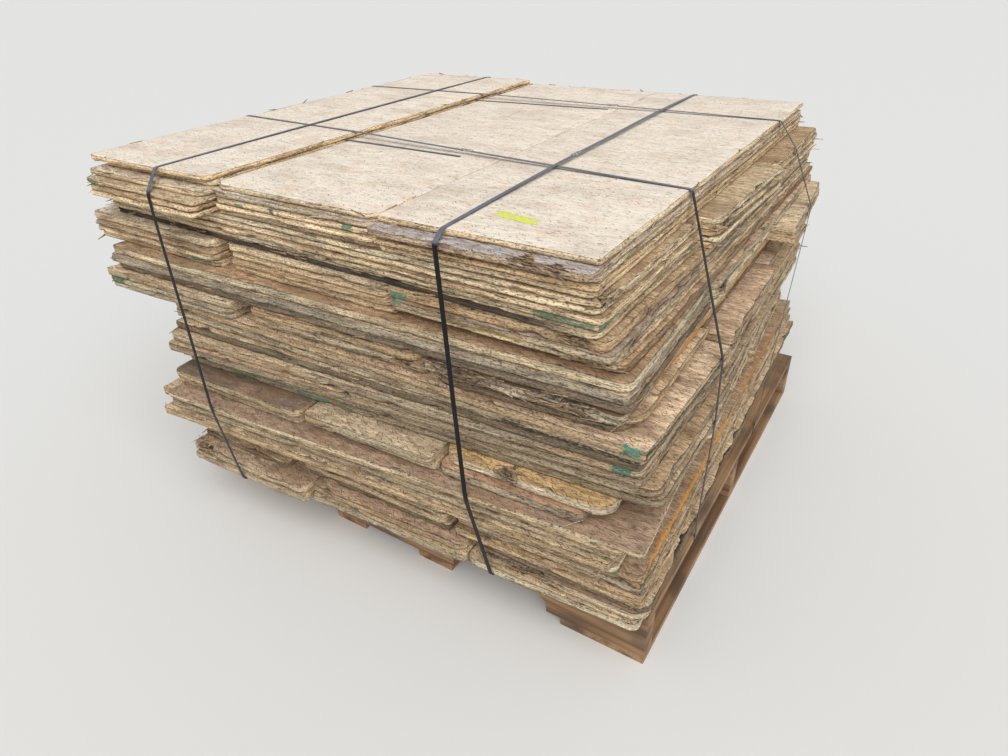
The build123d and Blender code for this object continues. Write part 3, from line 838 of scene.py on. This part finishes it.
def sticker(origin, top):
    """A blank torn label on the right column: a wavy sheet on a grid, 0.3 mm thick.

    Its ends are worked out as sums of sines of the place along them, so that they look torn.
    """
    across, away = np.meshgrid(np.linspace(0.0, 1.0, 41), np.linspace(0.0, 1.0, 9), indexing="ij")
    torn = 0.004 * np.sin(9.0 * away) + 0.003 * np.sin(23.0 * away + 1.0)
    wavy = 0.0010 * np.sin(11.0 * across) + 0.0006 * np.sin(31.0 * across + 2.0)
    right, back = LABEL_PLACE
    length, width = LABEL_SIZE
    x = origin[0] + right + (across - 0.5) * length + torn * (across - 0.5) * 2.0
    y = origin[1] + back + (away - 0.5) * width + wavy * (away - 0.5) * 2.0
    y += (across - 0.5) * -0.012
    layers = [np.stack([x, y, np.full_like(x, top + height)], axis=-1).reshape(-1, 3)
              for height in LABEL_HEIGHTS]
    rows, columns = across.shape
    count = rows * columns
    quads = grid_faces(rows, columns).reshape(-1, 4)
    ring = np.concatenate([np.arange(0, count, columns), count - columns + np.arange(1, columns),
                           np.arange(count - columns - 1, 0, -columns),
                           np.arange(columns - 2, 0, -1)])
    after = np.roll(ring, -1)
    walls = np.stack([ring, after, after + count, ring + count], axis=1)
    return np.vstack(layers), np.vstack([quads[:, ::-1], quads + count, walls])


def dress_pile(node, settings, origin, straps):
    """One object with every board of a CAD node, each as its own closed surface."""
    rng = np.random.default_rng(BOARD_NODES.index(node) + 11)
    course, part = node.rsplit("_", 1)
    runs = "rows" if course + "_back" in BOARD_NODES else "columns"
    open_sides = OPEN_SIDES[runs, part]
    if node == "course_10_left":
        open_sides = (*open_sides, RIGHT)
    blocks, caps, cap_uvs = [], [], []
    count = 0

    def put(block, faces, uvs, sides, tint, paint, mat):
        nonlocal count
        blocks.append((block, faces + count, uvs, sides, tint, paint,
                       np.broadcast_to(mat, (len(block), 4))))
        count += len(block)

    boards = boards_in(node)
    for level, (outline, bottom, top) in enumerate(boards):
        offset = rng.uniform(0.0, 40.0, 2)
        marks = marks_of(node, level, origin)
        # The top board keeps its cream face; lower faces take darker colours for weathering and
        # dirt together with painted shade
        if course == "course_10" and level == len(boards) - 1:
            mat = TOP_MAT
            marks["worse"] = 0.3
        elif (node, level) in FACE_TINTS_AND_SHADE:
            mat = (*linear(FACE_TINTS_AND_SHADE[node, level]), LEDGE_CONTRAST)
        else:
            mat = (*LEDGE_TINTS_AND_SHADE[rng.integers(len(LEDGE_TINTS_AND_SHADE))], LEDGE_CONTRAST)
        walk = walk_round(outline, open_sides, settings)
        grid, tint, share = board_surface(walk, bottom, top, marks, settings, rng)
        paint = paint_board(grid, walk[1], share, marks)
        faces, uvs, flags = board_faces(grid, walk[2], walk[3], offset)
        caps.append(faces[2] + count)
        cap_uvs.append(uvs[2])
        put(grid.reshape(-1, 3), np.vstack(faces[:2]), np.concatenate(uvs[:2]), flags,
            tint.reshape(-1, 4), paint.reshape(-1, 4), mat)
        block, faces, tint = frayed_strands(walk, grid, tint, marks, straps, settings, rng)
        if len(block):
            ends = block[faces]
            uvs = np.stack([ends[:, :, 0] + ends[:, :, 1], ends[:, :, 2]], axis=-1) + offset
            put(block, faces, uvs, np.ones(len(faces)), tint, np.zeros((len(block), 4)), mat)
    if node == "course_10_right":
        block, faces = sticker(origin, boards[-1][2])
        paint = np.broadcast_to(LABEL_PAINT, (len(block), 4))
        put(block, faces, block[faces][:, :, :2], np.zeros(len(faces)),
            np.ones((len(block), 4)), paint, TOP_MAT)
    points, quads, uvs, sides, tints, paints, mats = map(np.concatenate, zip(*blocks))
    thing = put_mesh("boards_" + node, points, [quads, *caps], [uvs, *cap_uvs],
                     {"side": np.append(sides, np.zeros(2 * len(caps)))},
                     {"tint": tints, "paint": paints, "mat": mats})
    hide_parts(node)
    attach(thing, "root")
    return thing


class Wiring:
    """A material's nodes, added and joined one call at a time."""

    def __init__(self, name):
        self.material = bpy.data.materials.new(name)
        self.material.use_nodes = True
        self.tree = self.material.node_tree
        self.tree.nodes.clear()

    def add(self, kind, inputs=(), **choices):
        """A node with its choices made: each input is a number, a colour or another's output."""
        node = self.tree.nodes.new(kind)
        for name, value in choices.items():
            setattr(node, name, value)
        for socket, value in dict(inputs).items():
            if isinstance(value, bpy.types.NodeSocket):
                self.tree.links.new(value, node.inputs[socket])
            else:
                node.inputs[socket].default_value = value
        return node

    def sum(self, operation, first, second=0.0, third=0.0, clamp=False):
        """One step of arithmetic."""
        return self.add("ShaderNodeMath", {0: first, 1: second, 2: third}, operation=operation,
                        use_clamp=clamp).outputs[0]

    def plus(self, first, second):
        """Two numbers added."""
        return self.sum("ADD", first, second)

    def less(self, first, second):
        """The second number taken from the first."""
        return self.sum("SUBTRACT", first, second)

    def times(self, first, second):
        """Two numbers multiplied."""
        return self.sum("MULTIPLY", first, second)

    def blend(self, share, first, second, kind="MIX"):
        """A colour between two others."""
        return self.add("ShaderNodeMix", {0: share, 6: first, 7: second}, data_type="RGBA",
                        blend_type=kind).outputs[2]

    def shaded(self, shade, strength):
        """A colour multiplied by a number."""
        return self.blend(1.0, shade, strength, "MULTIPLY")

    def between(self, share, first, second):
        """A number between two others."""
        return self.add("ShaderNodeMix", {0: share, 2: first, 3: second},
                        data_type="FLOAT").outputs[0]

    def ramp(self, value, *stops):
        """A colour ramp from (place, colour) stops."""
        node = self.add("ShaderNodeValToRGB", {0: value})
        marks = node.color_ramp.elements
        while len(marks) < len(stops):
            marks.new(0.5)
        for mark, (place, shade) in zip(marks, stops):
            mark.position = place
            mark.color = shade
        return node.outputs[0]

    def band(self, value, low, high):
        """A share from 0 at low to 1 at high, clamped, along a smooth curve."""
        return self.add("ShaderNodeMapRange", {0: value, 1: low, 2: high}, clamp=True,
                        interpolation_type="SMOOTHSTEP").outputs[0]

    def place(self, vector, scale, turn=0.0, shift=(0.0, 0.0, 0.0)):
        """The pattern coordinates turned, moved and stretched."""
        turned = self.add("ShaderNodeMapping", {0: vector, 1: shift, 2: (0.0, 0.0, turn)})
        return self.add("ShaderNodeMapping", {0: turned.outputs[0], 3: scale}).outputs[0]

    def noise(self, vector, scale, detail=2.0, roughness=0.5, turn=0.0, shift=(0.0, 0.0, 0.0)):
        """Cloudy noise from 0 to 1, stretched by a scale of two numbers on the pattern
        coordinates, or of three in space."""
        kind = f"{len(scale)}D"
        spread = self.place(vector, (*scale, 1.0)[:3], turn, shift)
        return self.add("ShaderNodeTexNoise", {"Vector": spread, "Scale": 1.0, "Detail": detail,
                                               "Roughness": roughness},
                        noise_dimensions=kind).outputs[0]

    def patches(self, vector, scale, low, high, amount, **choices):
        """Where a noise is high: from nothing at low to the whole amount at high."""
        return self.times(self.band(self.noise(vector, scale, **choices), low, high), amount)

    def cells(self, vector, scale, turn=0.0, shift=(0.0, 0.0, 0.0), **choices):
        """A pattern of cells, stretched on the pattern coordinates."""
        spread = self.place(vector, (*scale, 1.0), turn, shift)
        return self.add("ShaderNodeTexVoronoi", {"Vector": spread, "Scale": 1.0,
                                                 "Randomness": 1.0},
                        voronoi_dimensions="2D", **choices).outputs

    def finish(self, shade, roughness, height, distance, **sockets):
        """The surface: colour, roughness and a bump of the given depth in metres."""
        bump = self.add("ShaderNodeBump", {"Strength": 1.0, "Distance": distance,
                                           "Height": height})
        surface = self.add("ShaderNodeBsdfPrincipled", {"Base Color": shade,
                                                        "Roughness": roughness,
                                                        "Normal": bump.outputs[0], **sockets})
        out = self.add("ShaderNodeOutputMaterial", {"Surface": surface.outputs[0]})
        out.is_active_output = True
        return self.material


def strand_mat(wires, grain):
    """The face of a strand board: layers of long flakes, and where flakes of two layers meet,
    the one with the higher random number lies on top.

    Each layer is a cell pattern stretched along the flakes and turned by its own angle. Gives
    the flake's shade, its order in the pile and the fibres along it.
    """
    best, shade, fibre = 0.0, 0.5, 0.5
    for number, turn in enumerate((-0.35, -0.1, 0.06, 0.3)):
        shift = (3.7 * number, 1.9 * number, 0.0)
        flakes = wires.cells(grain, (24.0, 130.0), turn, shift, distance="CHEBYCHEV")["Color"]
        parts = wires.add("ShaderNodeSeparateColor", {0: flakes}).outputs
        lines = wires.noise(grain, (34.0, 460.0), turn=turn, shift=shift)
        higher = wires.sum("GREATER_THAN", parts[0], best)
        shade = wires.between(higher, shade, parts[1])
        fibre = wires.between(higher, fibre, lines)
        best = wires.sum("MAXIMUM", best, parts[0])
    return shade, best, fibre


def board_face(wires, grain, mat, settings):
    """The faces: flakes lighter and darker than the board's own colour, pink, ashen and brown
    patches, dark flecks and thin lines. Gives the colour and the height."""
    contrast = mat["Alpha"]
    flake, order, fibre = strand_mat(wires, grain)
    swing = wires.plus(wires.times(wires.less(flake, 0.60), 0.80),
                       wires.times(wires.less(fibre, 0.5), 0.6))
    swing = wires.times(swing, wires.less(contrast, 0.05))
    face = wires.shaded(mat["Color"], wires.plus(swing, 1.0))
    blush = wires.patches(grain, (12.0, 34.0), 0.54, 0.68, wires.between(contrast, 0.38, 0.14),
                          detail=3.0)
    face = wires.blend(blush, face, colour(236, 196, 166))
    ash = wires.patches(grain, (16.0, 42.0), 0.58, 0.74, 0.22, detail=3.0, turn=0.3)
    face = wires.blend(ash, face, colour(204, 190, 170))
    wash = wires.patches(grain, (5.0, 11.0), 0.46, 0.66, contrast, detail=5.0, roughness=0.62)
    face = wires.blend(wires.times(wash, 0.72), face, colour(146, 112, 82))
    dashes = 0.0
    for turn, scale in ((0.10, (40.0, 400.0)), (-0.20, (52.0, 460.0)), (0.7, (70.0, 420.0))):
        dash = wires.noise(grain, scale, turn=turn, roughness=0.55)
        dashes = wires.sum("MAXIMUM", dashes, dash)
    dashes = wires.less(dashes, wires.between(contrast, 0.712, 0.600))
    dashes = wires.times(wires.band(dashes, 0.0, 0.035), 0.85)
    face = wires.blend(dashes, face, settings.bark)
    line = wires.patches(grain, (18.0, 620.0), 0.64, 0.74, 0.35, turn=-0.05)
    face = wires.blend(line, face, colour(166, 134, 104))
    return face, wires.plus(wires.times(order, 0.5), wires.times(fibre, 0.5))


def board_edge(wires, grain, tint, settings):
    """The cut edges: strand layers, fine ends, brown stains and dark pores. Gives the colour,
    the height and the fine ends."""
    layers = wires.noise(grain, (16.0, 420.0), detail=4.0, roughness=0.65)
    ends = wires.noise(grain, (130.0, 640.0), detail=3.0, roughness=0.65)
    mixed = wires.plus(wires.times(layers, 0.5), wires.times(ends, 0.5))
    strength = wires.sum("MULTIPLY_ADD", wires.less(mixed, 0.47), 7.0, 0.95)
    strength = wires.sum("MINIMUM", wires.sum("MAXIMUM", strength, 0.14), 1.26)
    edge = wires.shaded(tint, strength)
    stain = wires.patches(grain, (11.0, 70.0), 0.52, 0.66, 0.40, detail=5.0, roughness=0.6)
    edge = wires.blend(stain, edge, colour(118, 84, 54))
    pores = wires.band(wires.cells(grain, (85.0, 330.0))["Distance"], 0.20, 0.08)
    edge = wires.blend(wires.times(pores, 0.75), edge, settings.resin)
    height = wires.times(wires.less(mixed, wires.times(pores, 0.5)), 3.0)
    return edge, height, ends


def board_finish(settings):
    """Strand board: a mat of flakes on the faces, and layered strands with dark pores in the
    edges.

    The mesh gives each face its own colour, on the lower faces darkened with painted shade as well,
    and contrast (mat), each edge point its tint with painted shade, and each point its paint, which
    a noise eats away at the mark's rim.
    """
    wires = Wiring("strand_board")
    grain = wires.add("ShaderNodeUVMap", uv_map="grain").outputs[0]
    side, mat, tint, paint = [wires.add("ShaderNodeAttribute", attribute_name=name).outputs
                              for name in ("side", "mat", "tint", "paint")]
    face, face_height = board_face(wires, grain, mat, settings)
    edge, edge_height, ends = board_edge(wires, grain, tint["Color"], settings)
    shade = wires.blend(side["Fac"], face, edge)
    eaten = wires.noise(grain, (110.0, 330.0), detail=3.0)
    cover = wires.times(wires.band(wires.less(paint["Alpha"], eaten), 0.22, 0.52), 0.88)
    wet = wires.shaded(paint["Color"], wires.sum("MULTIPLY_ADD", ends, 0.9, 0.55))
    shade = wires.blend(cover, shade, wet)
    height = wires.between(side["Fac"], face_height, edge_height)
    return wires.finish(shade, 0.82, height, 0.0009)


def timber_finish(settings, name, along):
    """Sawn softwood: rings stretched along the board's length, with darker late wood."""
    wires = Wiring(name)
    here = wires.add("ShaderNodeTexCoord").outputs["Object"]
    stretch = (1.2, 26.0, 40.0) if along == "x" else (26.0, 1.2, 40.0)
    lines = (6.0, 320.0, 320.0) if along == "x" else (320.0, 6.0, 320.0)
    rings = wires.noise(here, stretch, detail=3.0, roughness=0.55)
    fibre = wires.noise(here, lines)
    shade = wires.ramp(rings, (0.36, colour(104, 76, 52)), (0.5, settings.wood),
                       (0.64, colour(176, 146, 112)))
    dark = wires.times(wires.band(fibre, 0.6, 0.35), 0.4)
    shade = wires.blend(dark, shade, colour(112, 84, 58))
    dirt = wires.patches(here, (7.0, 7.0, 9.0), 0.42, 0.66, 0.7, detail=4.0)
    shade = wires.blend(dirt, shade, colour(88, 72, 58))
    return wires.finish(shade, 0.78, wires.plus(rings, fibre), 0.0006)


def strap_finish(settings):
    """Polyester strap: smooth and black, its upward faces painted paler as a painted sheen, and a
    fine emboss.
    """
    wires = Wiring("strap_band")
    here = wires.add("ShaderNodeTexCoord").outputs["Object"]
    normal = wires.add("ShaderNodeNewGeometry").outputs["True Normal"]
    upward = wires.add("ShaderNodeSeparateXYZ", {0: normal}).outputs[2]
    # Painted sheen: the upward faces blend from the band's black to a paler blue grey, made patchy
    # by a noise
    sheen_patches = wires.noise(here, (60.0, 60.0, 60.0), detail=4.0)
    fine = wires.noise(here, (900.0, 900.0, 900.0), detail=1.0)
    sheened = wires.sum("MULTIPLY", wires.band(upward, 0.35, 0.95),
                      wires.sum("MULTIPLY_ADD", sheen_patches, 1.0, 0.35), clamp=True)
    shade = wires.blend(sheened, settings.band, settings.dust)
    return wires.finish(shade, settings.roughness, fine, 0.0002,
                        **{"Specular IOR Level": 0.25})


def seal_finish():
    """Crimped steel seal: dull grey with darker rubbed marks."""
    wires = Wiring("seal_steel")
    here = wires.add("ShaderNodeTexCoord").outputs["Object"]
    rub = wires.noise(here, (140.0, 140.0, 140.0), detail=4.0)
    shade = wires.ramp(rub, (0.38, colour(84, 84, 86)), (0.60, colour(206, 206, 204)))
    return wires.finish(shade, 0.42, rub, 0.0008, Metallic=0.35)


class StackOperator(bpy.types.Operator):
    """Shared options of the operators that dress the stack."""

    bl_options = {"REGISTER", "UNDO"}


class STACK_OT_boards(StackOperator):
    """Makes every pile of boards with ragged edges in place of its CAD node"""

    bl_idname = "stack.boards"
    bl_label = "Boards"

    def execute(self, context):
        settings = context.scene.stack_boards
        finish = board_finish(settings)
        straps = strap_runs()
        corner = near_corner()
        origin = (corner[0] - SEAM_TO_CORNER, corner[1])
        for node in BOARD_NODES:
            dress_pile(node, settings, origin, straps).data.materials.append(finish)
        return {"FINISHED"}


class STACK_OT_pallet(StackOperator):
    """Gives the pallet's stringers and boards their timber"""

    bl_idname = "stack.pallet"
    bl_label = "Pallet"

    def execute(self, context):
        settings = context.scene.stack_timber
        for names, along in ((STRINGER_NODES, "x"), (DECK_NODES, "y")):
            finish = timber_finish(settings, "timber_along_" + along, along)
            for name in names:
                NODES[name].data.materials.clear()
                NODES[name].data.materials.append(finish)
        return {"FINISHED"}


def dress_strap(node, settings, rng):
    """A strap and its loose end: the flat profile carried along the taut line of the CAD's band,
    which waves a little from side to side by a slow random curve."""
    blocks, lines = [], []
    for line, closed, sideways in strap_paths(node):
        line, places = smooth_line(line, closed, BEND_RADIUS, STRAP_STEP)
        drift = smooth_noise(rng, places, places[-1] + STRAP_STEP, 0.16, 1) - 0.5
        line = line + sideways * drift * STRAP_DRIFT
        blocks.append(carry_profile(line, places, closed, sideways, settings.width,
                                    BAND_THICKNESS))
        lines.append((line, sideways))
    thing = put_mesh("band_" + node, *join_blocks(blocks))
    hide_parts(node)
    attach(thing, "root")
    return thing, lines[0]


def dress_seal(node, line, sideways, settings):
    """A crimped steel sleeve round a strap: a band's profile carried along the strap's line, its
    width drawn in by two narrow bell curves where the tool has notched it."""
    centre = np.array(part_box(node)).mean(axis=0)
    nearest = line[np.argmin(np.linalg.norm(line - centre, axis=1))]
    ahead = unit(np.cross(sideways, (0.0, 0.0, 1.0)))
    along = np.linspace(-0.5, 0.5, 41) * SEAL_LENGTH
    notch = sum(bell(along - place, 0.0016) for place in SEAL_NOTCHES)
    swell = np.stack([1.0 - 0.16 * notch, 1.0 + 0.5 * notch], axis=1)
    run = nearest + along[:, None] * ahead
    run[:, 2] = centre[2]
    points, faces, uvs = carry_profile(run, along, False, sideways,
                                       settings.width + SEAL_OVERLAP, SEAL_THICKNESS, swell)
    thing = put_mesh("crimp_" + node, points, faces, uvs)
    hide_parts(node)
    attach(thing, "root")
    return thing


class STACK_OT_straps(StackOperator):
    """Makes the flat straps, their loose ends and their crimped seals"""

    bl_idname = "stack.straps"
    bl_label = "Straps"

    def execute(self, context):
        settings = context.scene.stack_straps
        band, steel = strap_finish(settings), seal_finish()
        rng = np.random.default_rng(5)
        lines = {}
        for name in STRAP_NODES:
            thing, lines[name] = dress_strap(name, settings, rng)
            thing.data.materials.append(band)
        for name in SEAL_NODES:
            line, sideways = lines[name.replace("_seal", "")]
            dress_seal(name, line, sideways, settings).data.materials.append(steel)
        return {"FINISHED"}


class STACK_OT_stage(StackOperator):
    """Sets the floor, the soft light and the camera"""

    bl_idname = "stack.stage"
    bl_label = "Stage"

    def execute(self, context):
        settings = context.scene.stack_stage
        scene = context.scene
        scene.view_settings.view_transform = "Standard"
        square = FLOOR_REACH * np.array([[-1.0, -1.0, 0.0], [1.0, -1.0, 0.0],
                                         [1.0, 1.0, 0.0], [-1.0, 1.0, 0.0]])
        floor = put_mesh("floor", square, [np.array([[0, 1, 2, 3]])])
        wires = Wiring("floor_paint")
        surface = wires.add("ShaderNodeBsdfPrincipled", {"Base Color": settings.floor,
                                                         "Roughness": 0.9})
        wires.add("ShaderNodeOutputMaterial", {"Surface": surface.outputs[0]})
        floor.data.materials.append(wires.material)
        world = bpy.data.worlds.new("sky")
        world.use_nodes = True
        scene.world = world
        nodes, links = world.node_tree.nodes, world.node_tree.links
        nodes["Background"].inputs[0].default_value = (1.0, 1.0, 1.0, 1.0)
        seen, strength = nodes.new("ShaderNodeLightPath"), nodes.new("ShaderNodeMapRange")
        strength.inputs[3].default_value = settings.sky
        strength.inputs[4].default_value = settings.backdrop
        links.new(seen.outputs["Is Camera Ray"], strength.inputs[0])
        links.new(strength.outputs[0], nodes["Background"].inputs[1])
        sun = bpy.data.lights.new("overhead", "SUN")
        sun.energy = settings.lamp
        sun.angle = LAMP_SPREAD
        lamp = bpy.data.objects.new("overhead", sun)
        scene.collection.objects.link(lamp)
        lamp.rotation_euler = Vector(LAMP_DIRECTION).to_track_quat("Z", "Y").to_euler()
        self.place_camera(scene, settings)
        return {"FINISHED"}

    @staticmethod
    def place_camera(scene, settings):
        """The camera first looks down: it is rolled, tilted up to its pitch, turned to the left
        and moved to its place by the near corner."""
        data = bpy.data.cameras.new("camera")
        data.sensor_fit, data.sensor_width, data.lens = "HORIZONTAL", SENSOR_WIDTH, settings.lens
        data.clip_start, data.clip_end = CLIP_RANGE
        camera = bpy.data.objects.new("camera", data)
        scene.collection.objects.link(camera)
        away = Vector((settings.right_of, -settings.before, settings.above))
        camera.matrix_world = (Matrix.Translation(Vector(near_corner()) + away)
                               @ Matrix.Rotation(settings.yaw, 4, "Z")
                               @ Matrix.Rotation(math.pi / 2 - settings.pitch, 4, "X")
                               @ Matrix.Rotation(settings.roll, 4, "Z"))
        scene.camera = camera


class STACK_PT_panel(bpy.types.Panel):
    """Lists the steps that dress the stack"""

    bl_label = "Board Stack"
    bl_idname = "STACK_PT_panel"
    bl_space_type = "VIEW_3D"
    bl_region_type = "UI"
    bl_category = "Board Stack"

    def draw(self, context):
        for operator in OPERATORS:
            self.layout.operator(operator.bl_idname)


SETTINGS = {"stack_boards": BoardSettings, "stack_timber": TimberSettings,
            "stack_straps": StrapSettings, "stack_stage": StageSettings}
OPERATORS = (STACK_OT_boards, STACK_OT_pallet, STACK_OT_straps, STACK_OT_stage)


def register():
    """Adds the settings, the operators and the panel to Blender."""
    for name, group in SETTINGS.items():
        bpy.utils.register_class(group)
        setattr(bpy.types.Scene, name, PointerProperty(type=group))
    for kind in (*OPERATORS, STACK_PT_panel):
        bpy.utils.register_class(kind)


def unregister():
    """Takes them out again."""
    for kind in reversed((*OPERATORS, STACK_PT_panel)):
        bpy.utils.unregister_class(kind)
    for name, group in reversed(list(SETTINGS.items())):
        delattr(bpy.types.Scene, name)
        bpy.utils.unregister_class(group)


def main():
    """Dresses every piece: the boards, the pallet, the straps and the stage."""
    register()
    bpy.ops.stack.boards()
    bpy.ops.stack.pallet()
    bpy.ops.stack.straps()
    bpy.ops.stack.stage()


if __name__ == "__main__":
    main()
